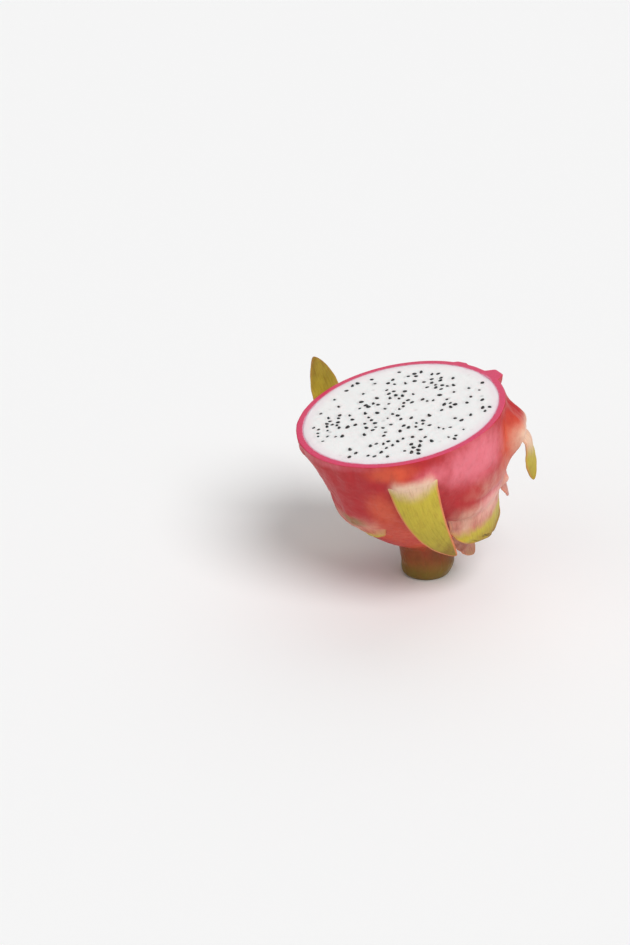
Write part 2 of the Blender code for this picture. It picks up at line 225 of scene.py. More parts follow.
CORAL_BLUSHES = (
    Blush(-16, 0.024, 15, 0.015, 0.9),
    Blush(-6, 0.004, 20, 0.006, 0.9),
    Blush(-16, 0.040, 34, 0.013, 0.7),
    Blush(76, 0.016, 20, 0.018, 0.8),
    Blush(8, 0.056, 60, 0.012, 0.7),
    Blush(-84, 0.012, 16, 0.018, 0.9),
    Blush(150, 0.012, 22, 0.014, 0.7),
    Blush(205, 0.030, 26, 0.016, 0.7),
)
PINK_AND_HIGHLIGHT_BLUSHES = (
    # The first oval, on the right near the cut where the key light falls, is partly a painted highlight over pink skin.
    Blush(42, 0.010, 34, 0.016, 0.95),
    Blush(-48, 0.001, 46, 0.0032, 0.35),
    Blush(56, 0.037, 20, 0.010, 0.9),
    Blush(92, 0.034, 20, 0.012, 0.5),
    Blush(14, 0.009, 14, 0.007, 0.6),
    Blush(122, 0.010, 26, 0.022, 0.6),
    Blush(180, 0.018, 30, 0.014, 0.6),
    Blush(240, 0.022, 22, 0.014, 0.5),
)
OLIVE_BLUSHES = (
    Blush(-44, 0.0325, 16, 0.0050, 0.6),
    Blush(-84, 0.030, 18, 0.010, 0.35),
)


def smooth_step(low, high, x):
    t = np.clip((x - low) / (high - low), 0, 1)
    return t * t * (3 - 2 * t)


def random_waves(points, wavelength, draw, count=28):
    """Smooth random field in space, seldom past -1 and 1: the sum of cosine waves of about one
    length, each in a direction and at a phase drawn at random."""
    rng = np.random.default_rng(draw)
    heading = rng.normal(size=(count, 3))
    heading /= np.linalg.norm(heading, axis=1, keepdims=True)
    number = 2 * math.pi / (wavelength * rng.uniform(0.7, 1.4, count))
    phase = rng.uniform(0, 2 * math.pi, count)
    waves = np.cos(points.reshape(-1, 3) @ (heading * number[:, None]).T + phase)
    return 0.5 * math.sqrt(2 / count) * waves.sum(1).reshape(points.shape[:-1])


def skin_radius(body, depth):
    """Radius of the bare body: a superellipse bowl that runs out into the blossom-end snout."""
    share = np.clip(depth / body.bowl_depth, 0, 1)
    bowl = body.cut_radius * (1 - share**body.fullness) ** (1 / body.fullness)
    gap = bowl - SNOUT_RADIUS
    joined = 0.5 * (bowl + SNOUT_RADIUS + np.sqrt(gap**2 + SNOUT_BLEND**2))
    return bowl + (joined - bowl) * smooth_step(*SNOUT_BLEND_ZONE, depth / body.bowl_depth)


def skin_slope(body, depth):
    """Angle in degrees of the bare body's outline from straight down the axis, outwards positive."""
    step = 0.0005
    rise = skin_radius(body, depth + step) - skin_radius(body, depth - step)
    return math.degrees(math.atan2(rise, 2 * step))


def skin_course(body):
    """Depth and radius down one meridian, evenly spaced along it, ending at the foot's rounding."""
    depth = np.linspace(0, body.foot_depth, MERIDIAN_SAMPLES)
    radius = skin_radius(body, depth)
    into_foot = np.clip((depth - body.foot_depth + FOOT_ROUNDING) / FOOT_ROUNDING, 0, 1)
    radius = radius + (FOOT_RADIUS - radius) * (1 - np.sqrt(1 - into_foot**2))
    run = np.concatenate([[0], np.cumsum(np.hypot(np.diff(depth), np.diff(radius)))])
    stations = np.linspace(0, run[-1], SKIN_ROWS)
    return np.interp(stations, run, depth), np.interp(stations, run, radius)


def turn_from(start, azimuth):
    """Signed turn in radians from a start in degrees to an azimuth in radians, the short way."""
    return (azimuth - math.radians(start) + math.pi) % (2 * math.pi) - math.pi


def flat_side(azimuth, depth):
    """How far the fruit's left side is pressed in: one soft hollow, round in both directions."""
    around = turn_from(FLAT_SIDE_AZIMUTH, azimuth) / math.radians(FLAT_SIDE_SPREAD)
    down = (depth - FLAT_SIDE_DEPTH) / FLAT_SIDE_REACH
    window = np.clip(1 - around**2, 0, 1) * np.clip(1 - down**2, 0, 1)
    return FLAT_SIDE_SINK * window * (2 - window)


def tongue_height(scale, beyond, held=False):
    """Height along the middle of a scale's swelling, beyond the line where its blade leaves.
    A held tongue doesn't drop away there, as the blade's own outer face doesn't."""
    height = scale.swell * smooth_step(-scale.rise, 0, beyond)
    return height if held else height * (1 - smooth_step(0, scale.fall, beyond))


def tongue_place(body, scale, azimuth, depth):
    """Where a point of the skin lies on a scale's tongue: across it, from -1 to 1 between its
    sides, and beyond the bowed line where the blade leaves."""
    lateral = turn_from(scale.azimuth, azimuth) * skin_radius(body, scale.depth)
    narrowing = 1 - TONGUE_NARROWING * np.clip((scale.depth - depth) / scale.rise, 0, 1)
    across = lateral / (0.5 * scale.spread * scale.width * narrowing)
    return across, depth - scale.depth + ATTACHMENT_BOW * across**2


def swelling(body, azimuth, depth, held=None):
    """Height added to the skin by the scales' roots: each is a flat-topped tongue that widens
    and rises towards the line where its blade leaves, and drops away beyond it."""
    height = np.zeros(np.broadcast(azimuth, depth).shape)
    for name, scale in SCALES.items():
        across, beyond = tongue_place(body, scale, azimuth, depth)
        side = 1 - smooth_step(TONGUE_FLAT, 1, np.abs(across))
        height = np.sqrt(height**2 + (tongue_height(scale, beyond, name == held) * side) ** 2)
    return height * (1 - smooth_step(*TONGUE_END_ZONE, depth / body.foot_depth))


def skin_relief(body, azimuth, depth):
    """Fine height of the leathery skin: broad folds, creases where a random field changes sign,
    and shallow dents, which all fade out at the cut's edge and towards the foot."""
    radius = skin_radius(body, depth)
    place = np.stack(np.broadcast_arrays(radius * np.sin(azimuth), -radius * np.cos(azimuth), -depth), -1)
    drawn_out = place * (1, 1, 0.55)
    folds = 0.00030 * random_waves(drawn_out, 0.013, 11) + 0.00012 * random_waves(place, 0.005, 12)
    creases = -0.00022 * np.exp(-((random_waves(drawn_out, 0.017, 13) / 0.10) ** 2))
    dents = 0.00005 * random_waves(place, 0.0022, 14)
    fade = smooth_step(-0.001, 0.003, depth) * (1 - smooth_step(0.90, 0.99, depth / body.foot_depth))
    return (folds + creases + dents) * fade


def lean(body):
    """Turn from the fruit's own axes to the resting ones."""
    left, forward = math.tan(body.lean_left), math.tan(body.lean_forward)
    axis = Vector((-left, -forward, 1)).normalized()
    return Vector((0, 0, 1)).rotation_difference(axis).to_matrix()


def foot_depth(body, x, y):
    """Depth at which the floor lies below the point x, y of the fruit's own axes."""
    up = lean(body).transposed() @ Vector((0, 0, 1))
    return body.foot_depth + (up.x * x + up.y * y) / up.z


def turned(body, depth, radius, azimuth):
    """Points at this depth and radius round the axis, with the flat side pressed in and the
    snout and foot set aside."""
    radius = radius - flat_side(azimuth, depth)
    aside = smooth_step(*SNOUT_SHIFT_ZONE, depth / body.foot_depth)
    at_foot = smooth_step(body.foot_depth - FOOT_ROUNDING, body.foot_depth, depth)
    x = radius * np.sin(azimuth) + SNOUT_SHIFT[0] * aside + FOOT_SHIFT * at_foot
    y = -radius * np.cos(azimuth) + SNOUT_SHIFT[1] * aside
    return np.stack([x, y, -np.broadcast_to(depth, x.shape)], axis=-1)


def pulp_course(body, rows):
    """Depth and radius down the wall between rind and pulp, a superellipse, down to the pole."""
    reach = body.bowl_depth - body.rind_at_blossom_end
    radius = body.cut_radius - body.rind_at_cut
    turn = np.linspace(0, math.pi / 2, rows + 1)[:-1]
    power = 2 / body.fullness
    return reach * np.sin(turn) ** power, radius * np.cos(turn) ** power, reach


def set_down(body, points):
    """Leans points of the fruit's own axes and sets them down in the frame. The place is found
    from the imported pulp, whose box the same formula gives before it is moved."""
    turn = np.array(lean(body))
    azimuth = np.linspace(0, 2 * math.pi, AROUND, endpoint=False)[None, :]
    depth, radius, _ = pulp_course(body, AROUND)
    pulp = turned(body, depth[:, None], radius[:, None] - body.gap, azimuth).reshape(-1, 3) @ turn.T
    low, high = (np.array(corner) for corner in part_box("flesh"))
    place = (low + high) / 2 - (pulp.min(0) + pulp.max(0)) / 2
    place[2] = body.foot_depth * turn[2, 2]
    return points.reshape(-1, 3) @ turn.T + place


def grid_faces(rows, columns):
    """Quads of a grid that closes on itself round its columns, as rows of four indices."""
    row, column = np.meshgrid(np.arange(rows - 1), np.arange(columns), indexing="ij")
    a = row * columns + column
    b = row * columns + (column + 1) % columns
    return np.stack([a, b, b + columns, a + columns], -1).reshape(-1, 4)


def pole_faces(pole, ring):
    """Triangles from a pole to a ring of points."""
    after = np.roll(ring, -1)
    return np.stack([np.full(len(ring), pole), ring, after], -1)


def closed_grid(rows, columns):
    """Faces of a grid closed round its columns whose ends are closed on two poles: the first
    comes right after the grid's own points, and the second after it."""
    quads = grid_faces(rows, columns)
    first = pole_faces(rows * columns, np.arange(columns))
    last = pole_faces(rows * columns + 1, np.arange(columns) + (rows - 1) * columns)
    return quads, np.concatenate([first[:, ::-1], last])


def new_piece(name, points, quads, triangles, outward=True):
    """A mesh object from points, quads and triangles, with its faces turned to point outwards."""
    quads, triangles = np.asarray(quads, int).reshape(-1, 4), np.asarray(triangles, int).reshape(-1, 3)
    split = np.concatenate([quads[:, (0, 1, 2)], quads[:, (0, 2, 3)], triangles])
    corners = points[split]
    volume = np.einsum("ij,ij->i", corners[:, 0], np.cross(corners[:, 1], corners[:, 2])).sum()
    if outward and abs(volume) < 1e-12:
        raise RuntimeError(f"{name} holds no volume")
    if volume < 0:
        quads, triangles = quads[:, ::-1], triangles[:, ::-1]
    mesh = bpy.data.meshes.new(name)
    loops = np.concatenate([quads.ravel(), triangles.ravel()])
    mesh.vertices.add(len(points))
    mesh.vertices.foreach_set("co", points.astype(np.float32).ravel())
    mesh.loops.add(len(loops))
    mesh.loops.foreach_set("vertex_index", loops.astype(np.int32))
    starts = np.concatenate([4 * np.arange(len(quads)), 4 * len(quads) + 3 * np.arange(len(triangles))])
    mesh.polygons.add(len(starts))
    mesh.polygons.foreach_set("loop_start", starts.astype(np.int32))
    mesh.update(calc_edges=True)
    if mesh.validate():
        raise RuntimeError(f"{name} has broken faces")
    mesh.shade_smooth()
    piece = bpy.data.objects.new(name, mesh)
    bpy.context.scene.collection.objects.link(piece)
    return piece


def set_attribute(piece, name, kind, values):
    """Stores one value a point: a FLOAT, a FLOAT_VECTOR or a FLOAT_COLOR."""
    key = {"FLOAT": "value", "FLOAT_VECTOR": "vector", "FLOAT_COLOR": "color"}[kind]
    attribute = piece.data.attributes.new(name, kind, "POINT")
    attribute.data.foreach_set(key, np.asarray(values, np.float32).ravel())


def oval(blush, azimuth, depth):
    """1 in the middle of a blush, falling softly to 0 at its edge."""
    across = turn_from(blush.azimuth, azimuth) / math.radians(blush.half_turn)
    down = (depth - blush.depth) / blush.half_depth
    return blush.strength * (1 - smooth_step(0.2, 1.0, np.hypot(across, down)))


def blushed(blushes, azimuth, depth):
    """The blushes together, none adding to another past 1."""
    left = np.ones(np.broadcast(azimuth, depth).shape)
    for blush in blushes:
        left = left * (1 - oval(blush, azimuth, depth))
    return 1 - left


def skin_ripeness(body, azimuth, depth):
    """The skin's colour masks. Blush holds coral, pink and pale, and its pink also holds a painted highlight on the
    right near the cut; leaf holds green, olive and dry. Pale stands at each scale's root; olive and dry take over the
    snout."""
    coral = blushed(CORAL_BLUSHES, azimuth, depth)
    # pink skin, with a painted highlight on the right near the cut
    pink = blushed(PINK_AND_HIGHLIGHT_BLUSHES, azimuth, depth)
    pale = np.zeros_like(coral)
    for scale in SCALES.values():
        across, beyond = tongue_place(body, scale, azimuth, depth)
        side = 1 - smooth_step(0.45, 0.95, np.abs(across))
        along = smooth_step(-0.45 * scale.rise, 0, beyond) * (1 - smooth_step(0, 0.7 * scale.fall, beyond))
        pale = np.maximum(pale, scale.pale * side * along)
    down = depth / body.foot_depth
    dry = 0.75 * smooth_step(0.66, 0.80, down) * (1 - 0.6 * smooth_step(0.84, 0.95, down))
    olive = np.maximum(blushed(OLIVE_BLUSHES, azimuth, depth), smooth_step(0.80, 0.95, down))
    green = 0.25 * smooth_step(0.78, 0.92, down)
    return np.stack([coral, pink, pale, np.ones_like(pale)], -1), np.stack(
        [green + 0 * pale, olive, dry + 0 * pale, np.ones_like(pale)], -1
    )


def make_rind(body):
    """The rind without its blades as one closed surface of rings round the axis: up the inner
    wall, across the flat cut, over its edge, down the outer skin and in across the foot."""
    azimuth = np.linspace(0, 2 * math.pi, AROUND, endpoint=False)[None, :]
    inner_depth, inner_radius, reach = pulp_course(body, CAVITY_ROWS)
    inner = turned(body, inner_depth[::-1, None], inner_radius[::-1, None], azimuth)
    depth, radius = (values[:, None] for values in skin_course(body))
    edge = CUT_EDGE_ROUNDING * (1 - np.cos(np.linspace(0, math.pi / 2, 4)))[:, None]
    depth = np.concatenate([edge, depth[1:]])
    radius = np.concatenate([radius[:1] + 0 * edge, radius[1:]])
    into_edge = np.clip(1 - depth / CUT_EDGE_ROUNDING, 0, 1)
    rounded = CUT_EDGE_ROUNDING * (1 - np.sqrt(1 - into_edge**2))
    height = swelling(body, azimuth, depth) + skin_relief(body, azimuth, depth)
    skin = turned(body, depth, radius + height - rounded, azimuth)
    level = (depth / body.foot_depth) ** FOOT_LEVELLING
    skin[..., 2] -= level * (foot_depth(body, skin[..., 0], skin[..., 1]) - body.foot_depth)
    over = np.linspace(0, 1, RIM_ROWS + 2)[1:-1, None, None]
    rim = inner[-1:] * (1 - over) + skin[:1] * over
    foot_centre = skin[-1].mean(0)
    inwards = np.linspace(0, 1, FOOT_ROWS + 1)[1:-1, None, None]
    foot = skin[-1:] * (1 - inwards) + foot_centre * inwards
    rings = np.concatenate([inner, rim, skin, foot])
    points = np.concatenate([rings.reshape(-1, 3), [[0, 0, -reach]], [foot_centre]])
    quads, triangles = closed_grid(len(rings), AROUND)
    piece = new_piece("rind_skin", set_down(body, points), quads, triangles)

    blush, leaf = skin_ripeness(body, azimuth, depth)
    before, after = len(inner) + len(rim), len(foot)
    blush = np.concatenate([np.repeat(blush[:1], before, 0), blush, np.repeat(blush[-1:], after, 0)])
    leaf = np.concatenate([np.repeat(leaf[:1], before, 0), leaf, np.repeat(leaf[-1:], after, 0)])
    for name, mask in (("blush", blush), ("leaf", leaf)):
        ends = np.stack([mask[0].mean(0), mask[-1].mean(0)])
        set_attribute(piece, name, "FLOAT_COLOR", np.concatenate([mask.reshape(-1, 4), ends]))
    from_pulp = np.zeros(len(points))
    from_pulp[len(inner) * AROUND : before * AROUND] = np.repeat(over.ravel(), AROUND)
    from_pulp[before * AROUND :] = 1
    set_attribute(piece, "from_pulp", "FLOAT", from_pulp)

    piece.data.materials.append(skin_material())
    piece.data.materials.append(cut_rind_material())
    cut_rows = np.zeros((len(rings) - 1, AROUND), np.int32)
    cut_rows[: before + 1] = 1
    ends = np.repeat([1, 0], AROUND)
    piece.data.polygons.foreach_set("material_index", np.concatenate([cut_rows.ravel(), ends]))
    return piece


def blade_course(body, scale, free, back):
    """Centre line of a blade in its own axes (down, right, out), with the angles outwards and to
    the right that it runs at. It leaves along the skin, lifts, then curls and sways to its tip."""
    fine = np.linspace(0, 1, COURSE_SAMPLES)
    slope = skin_slope(body, scale.depth)
    out = slope + (scale.lift - slope) * smooth_step(0, LIFT_DONE, fine)
    out = np.radians(out + scale.curl * smooth_step(CURL_START, scale.hook, fine))
    side = np.radians(scale.sway * fine)
    heading = np.stack([np.cos(out) * np.cos(side), np.cos(out) * np.sin(side), np.sin(out)], 1)
    steps = 0.5 * (heading[1:] + heading[:-1]) * scale.length / (COURSE_SAMPLES - 1)
    path = np.concatenate([[[0, 0, 0]], np.cumsum(steps, 0)])
    course = np.stack([np.interp(free, fine, path[:, k]) for k in range(3)], -1)
    root = back * min(ROOT_LENGTH * scale.rise, scale.depth - ROOT_BELOW_CUT)
    top = skin_radius(body, scale.depth - root) + tongue_height(scale, -root)
    half_thick = scale.thick / 2 * (1 - ROOT_THINNING * back)
    course = course + np.stack([scale.depth - root, 0 * root, top - half_thick], -1)
    return course, np.interp(free, fine, out), np.interp(free, fine, side)


def blade_points(body, name, scale):
    """Rings of points round a blade. Its root follows the skin just under its surface, so that
    the outer face grows out of it without a step. From there it is a leaf wrapped round the
    fruit that narrows to its tip, thick in the middle, with thin, rounded, waved edges."""
    turn = np.linspace(0, 2 * math.pi, BLADE_LOOP, endpoint=False)[None, :]
    u = np.cos(turn)
    layer = np.sign(np.sin(turn)) * np.abs(np.sin(turn)) ** BLADE_EDGE_FULLNESS
    along = 1 - np.cos(np.linspace(0, math.pi / 2, BLADE_ROWS))[:, None] ** 1.3
    along = np.concatenate([np.linspace(-0.6, 0, BLADE_ROOT_ROWS, endpoint=False)[:, None], along])
    torn = np.clip(0.5 + 0.5 * np.cos(23 * u + 1.0) * np.cos(9 * u) + 0.3 * np.cos(41 * u), 0, 1)
    free = np.clip(along, 0, 1) * (1 - scale.rag * torn)
    back = np.clip(-along, 0, 1) + 0 * u
    course, out, side = blade_course(body, scale, free, back)

    narrow = (1 - np.clip(along, 0, 1) ** scale.full) ** TIP_ROUNDING
    half = 0.5 * scale.width * narrow * (1 - ROOT_NARROWING * back)
    twist = np.radians(scale.twist) * free**TWISTING
    up = np.stack([-np.sin(out) * np.cos(side), -np.sin(out) * np.sin(side), np.cos(out)], -1)
    across = np.stack([-np.sin(side), np.cos(side), 0 * side], -1)
    wide = np.cos(twist)[..., None] * across + np.sin(twist)[..., None] * up
    face = np.cos(twist)[..., None] * up - np.sin(twist)[..., None] * across
    extra = (scale.thick - BLADE_EDGE_THICKNESS) * (1 - free) ** THINNING
    thickness = (BLADE_EDGE_THICKNESS + extra * (1 - u**2)) * np.minimum(1, 8 * narrow)
    bend = skin_radius(body, scale.depth)
    wave = WAVE_SHARE * half * np.sin(2 * math.pi * WAVES * free + len(name))
    wave = wave + FINE_WAVE_SHARE * half * np.sin(2 * math.pi * FINE_WAVES * free + 2 * len(name))
    wave = wave * smooth_step(0, 2 * MARGIN_FREE, free)
    veins = VEIN_HEIGHT * np.cos(math.pi * VEINS * u) * smooth_step(0, MARGIN_FREE, free)
    offset = layer * (thickness / 2 + veins) - bend * (1 - np.cos(u * half / bend)) + wave * u**3
    local = course + (bend * np.sin(u * half / bend))[..., None] * wide + offset[..., None] * face
    bow = ATTACHMENT_BOW * (u / scale.spread) ** 2 * (1 - free)
    down, right, outward = local[..., 0] - bow, local[..., 1], local[..., 2]
    azimuth = math.radians(scale.azimuth)
    x = outward * math.sin(azimuth) + right * math.cos(azimuth)
    y = -outward * math.cos(azimuth) + right * math.sin(azimuth)
    grown = np.stack([x, y, -down], axis=-1)

    wrapped = azimuth + u * half / bend
    depth = course[..., 0] - bow
    sunk = BLADE_ROOT_SUNK * smooth_step(0, 0.6, back) - 0.00004 * smooth_step(0, 0.1, free)
    shell = skin_radius(body, depth) + swelling(body, wrapped, depth, held=name)
    shell = shell + skin_relief(body, wrapped, depth) - sunk - thickness / 2 * (1 - layer)
    held = turned(body, depth, shell, wrapped)
    weight = (1 - smooth_step(0, BLADE_HELD, free))[..., None]
    return weight * held + (1 - weight) * grown, np.clip(along, 0, 1) + 0 * u, free, back, u + 0 * free, half


def make_blade(body, name, scale):
    """One scale's free blade, closed to a point at its tip and closed off inside the rind."""
    rings, along, free, back, u, half = blade_points(body, name, scale)
    columns = rings.shape[1]
    tip, root = rings[-1].mean(0), rings[0].mean(0)
    grid = rings[:-1]
    points = np.concatenate([grid.reshape(-1, 3), [root], [tip]])
    quads, triangles = closed_grid(len(grid), columns)
    piece = new_piece("scale_" + name, set_down(body, points), quads, triangles)

    own = grid.reshape(-1, 3)
    azimuth = np.arctan2(own[:, 0], -own[:, 1])
    blush, leaf = skin_ripeness(body, azimuth, -own[:, 2])
    free, along, u = free[:-1].ravel(), along[:-1].ravel(), u[:-1].ravel()
    out_on_blade = smooth_step(-0.02, 0.12, along)
    pale = np.maximum(blush[:, 2], scale.pale * smooth_step(-0.1, 0.02, along - 1e-9))
    green = smooth_step(*scale.green, along + 0.06 * u**2)
    blush = np.stack([blush[:, 0], blush[:, 1], pale, np.ones_like(pale)], -1)
    olive = leaf[:, 1] * (1 - out_on_blade) + out_on_blade * scale.olive * smooth_step(0.15, 1, along)
    dry = leaf[:, 2] * (1 - out_on_blade) + out_on_blade * scale.dry * smooth_step(0.6, 1, along)
    leaf = np.stack([np.maximum(green, leaf[:, 0]), olive, dry, np.ones_like(dry)], -1)
    for label, mask in (("blush", blush), ("leaf", leaf)):
        ends = np.stack([mask[:columns].mean(0), mask[-columns:].mean(0)])
        set_attribute(piece, label, "FLOAT_COLOR", np.concatenate([mask, ends]))
    inwards = (1 - np.abs(u)) * half[:-1].ravel()
    edge = scale.edge * (1 - smooth_step(0.0003, 0.0011, inwards)) * smooth_step(0.02, 0.15, along)
    set_attribute(piece, "edge", "FLOAT", np.concatenate([edge, [0, scale.edge]]))
    grain = np.stack([u * half[:-1].ravel(), free * scale.length, back[:-1].ravel()], -1)
    ends = [[0, 0, 1], [0, scale.length, 0]]
    set_attribute(piece, "grain", "FLOAT_VECTOR", np.concatenate([grain, ends]))
    piece.data.materials.append(scale_material())
    return piece


def seed_places(body, looks):
    """Centre and turn of each seed, as on the solids: drawn at random over the face, denser
    about the middles of clusters that are drawn first, and none closer than the spacing."""
    draw = np.random.default_rng(looks.seed_draw)
    reach = body.cut_radius - body.rind_at_cut - body.gap - looks.seed_free_margin
    middles = draw.uniform(-reach, reach, (looks.seed_clusters, 2))
    places = np.empty((0, 2))
    while len(places) < looks.seed_count:
        spot = draw.uniform(-reach, reach, 2)
        nearest = np.hypot(*(middles - spot).T).min()
        density = max(looks.between_clusters, math.exp(-((nearest / looks.cluster_reach) ** 2)))
        clear = np.hypot(*(places - spot).T) > looks.seed_spacing
        if np.hypot(*spot) < reach and clear.all() and draw.uniform() < density:
            places = np.vstack([places, spot])
    return places, draw.uniform(0, 2 * math.pi, looks.seed_count)


def pulp_height(points, places, reach):
    """Height of the cut pulp: broad waves left by the knife, fine wet grain, a low swell round
    each seed where the pulp clings to it, and a small dip at the rind."""
    flat = np.concatenate([points, np.zeros((len(points), 1))], 1)
    height = 0.00012 * random_waves(flat, 0.020, 21) + 0.00004 * random_waves(flat, 0.003, 22)
    nearest = np.full(len(points), 1.0)
    for place in places:
        nearest = np.minimum(nearest, np.hypot(*(points - place).T))
    height += 0.00013 * np.exp(-(((nearest - 0.0012) / 0.0005) ** 2))
    height -= 0.00015 * np.exp(-((nearest / 0.0007) ** 2))
    radius = np.hypot(*points.T)
    return height * (1 - smooth_step(0.95, 1.0, radius / reach)), nearest


def make_pulp(body, looks):
    """The white pulp: a wall that fills the rind, and the cut face as rings drawn in to the
    middle, with its fine height."""
    azimuth = np.linspace(0, 2 * math.pi, AROUND, endpoint=False)[None, :]
    depth, radius, reach = pulp_course(body, CAVITY_ROWS)
    hair = 0.00002
    wall = turned(body, depth[::-1, None], radius[::-1, None] - hair, azimuth)
    inwards = np.linspace(0, 1, PULP_RINGS + 1)[1:-1, None, None]
    top = wall[-1:] * (1 - inwards)
    places, _ = seed_places(body, looks)
    height, nearest = pulp_height(top.reshape(-1, 3)[:, :2], places, radius[0])
    top[..., 2] += height.reshape(top.shape[:2])
    rings = np.concatenate([wall, top])
    points = np.concatenate([rings.reshape(-1, 3), [[0, 0, -reach]], [[0, 0, 0]]])
    quads, triangles = closed_grid(len(rings), AROUND)
    piece = new_piece("pulp", set_down(body, points), quads, triangles)
    from_rind = np.clip(radius[0] - np.hypot(points[:, 0], points[:, 1]), 0, None)
    from_rind[: len(wall) * AROUND] = 0
    set_attribute(piece, "from_rind", "FLOAT", from_rind)
    near_seed = np.zeros(len(points))
    near_seed[len(wall) * AROUND : -2] = np.exp(-((nearest / 0.0016) ** 2))
    set_attribute(piece, "near_seed", "FLOAT", near_seed)
    piece.data.materials.append(pulp_material())
    return piece


def make_seeds(body, looks):
    """Every seed that the cut bares, as one mesh: drops blunt at one end, each turned, sized and
    tipped into the pulp by its own draw."""
    places, turns = seed_places(body, looks)
    draw = np.random.default_rng(looks.seed_draw + 1)
    count = len(places)
    size = draw.uniform(0.78, 1.12, count)
    tip = draw.normal(0, 0.28, count)
    down = draw.uniform(-0.00022, 0.00010, count)
    latitude = np.linspace(0, math.pi, SEED_RINGS + 1)[1:-1, None]
    around = np.linspace(0, 2 * math.pi, SEED_SIDES, endpoint=False)[None, :]
    along = np.cos(latitude) + 0 * around
    taper = 1 - looks.seed_taper * along
    drop = np.stack([along, np.sin(latitude) * np.cos(around) * taper, np.sin(latitude) * np.sin(around) * taper], -1)
    drop = np.concatenate([drop.reshape(-1, 3), [[1, 0, 0]], [[-1, 0, 0]]])
    drop = drop * (looks.seed_half_length, looks.seed_half_width, looks.seed_half_height)
    drop = drop[None] * size[:, None, None]
    x = drop[..., 0] * np.cos(tip)[:, None] + drop[..., 2] * np.sin(tip)[:, None]
    z = -drop[..., 0] * np.sin(tip)[:, None] + drop[..., 2] * np.cos(tip)[:, None]
    y = drop[..., 1]
    cos, sin = np.cos(turns)[:, None], np.sin(turns)[:, None]
    seeds = np.stack([x * cos - y * sin + places[:, :1], x * sin + y * cos + places[:, 1:], z + down[:, None]], -1)
    quads, triangles = closed_grid(SEED_RINGS - 1, SEED_SIDES)
    step = (np.arange(count) * len(drop[0]))[:, None, None]
    points = set_down(body, seeds)
    piece = new_piece("seeds", points, (quads[None] + step).reshape(-1, 4), (triangles[None] + step).reshape(-1, 3))
    piece.data.materials.append(seed_material())
    return piece


def put(tree, kind, values=None, **settings):
    """Adds a node, sets its properties, and sets or links its inputs by name or number."""
    made = tree.nodes.new(kind)
    for key, value in settings.items():
        setattr(made, key, value)
    for key, value in (values or {}).items():
        if isinstance(value, bpy.types.NodeSocket):
            tree.links.new(value, made.inputs[key])
        else:
            made.inputs[key].default_value = value
    return made


def mixed(tree, share, first, second, how="MIX"):
    """Colour output that blends a first colour into a second by a share."""
    made = put(tree, "ShaderNodeMix", data_type="RGBA", blend_type=how, clamp_factor=True)
    for socket, value in ((0, share), (6, first), (7, second)):
        if isinstance(value, bpy.types.NodeSocket):
            tree.links.new(value, made.inputs[socket])
        else:
            made.inputs[socket].default_value = value
    return made.outputs[2]


def maths(tree, operation, *values, clamp=False):
    """Value output of one Math node."""
    return put(tree, "ShaderNodeMath", dict(enumerate(values)), operation=operation, use_clamp=clamp).outputs[0]


def ranged(tree, value, low, high, to_low=0.0, to_high=1.0):
    """A value taken smoothly from one range to another."""
    made = put(tree, "ShaderNodeMapRange", {0: value, 1: low, 2: high, 3: to_low, 4: to_high})
    made.interpolation_type = "SMOOTHSTEP"
    return made.outputs[0]


def noise(tree, place, scale, detail=3.0, roughness=0.5):
    """Value output of a Noise Texture at a place."""
    values = {"Vector": place, "Scale": scale, "Detail": detail, "Roughness": roughness}
    return put(tree, "ShaderNodeTexNoise", values).outputs[0]


def new_group(name, inputs, outputs):
    """An empty node group with named sockets, and its input and output nodes."""
    group = bpy.data.node_groups.new(name, "ShaderNodeTree")
    for label, kind, value in inputs:
        socket = group.interface.new_socket(label, in_out="INPUT", socket_type=kind)
        if value is not None:
            socket.default_value = value
    for label, kind in outputs:
        group.interface.new_socket(label, in_out="OUTPUT", socket_type=kind)
    return group, group.nodes.new("NodeGroupInput"), group.nodes.new("NodeGroupOutput")


def use_group(tree, group, values):
    made = tree.nodes.new("ShaderNodeGroup")
    made.node_tree = group
    for key, value in values.items():
        if isinstance(value, bpy.types.NodeSocket):
            tree.links.new(value, made.inputs[key])
        else:
            made.inputs[key].default_value = value
    return made


def opaque(colour):
    return (*colour, 1.0)


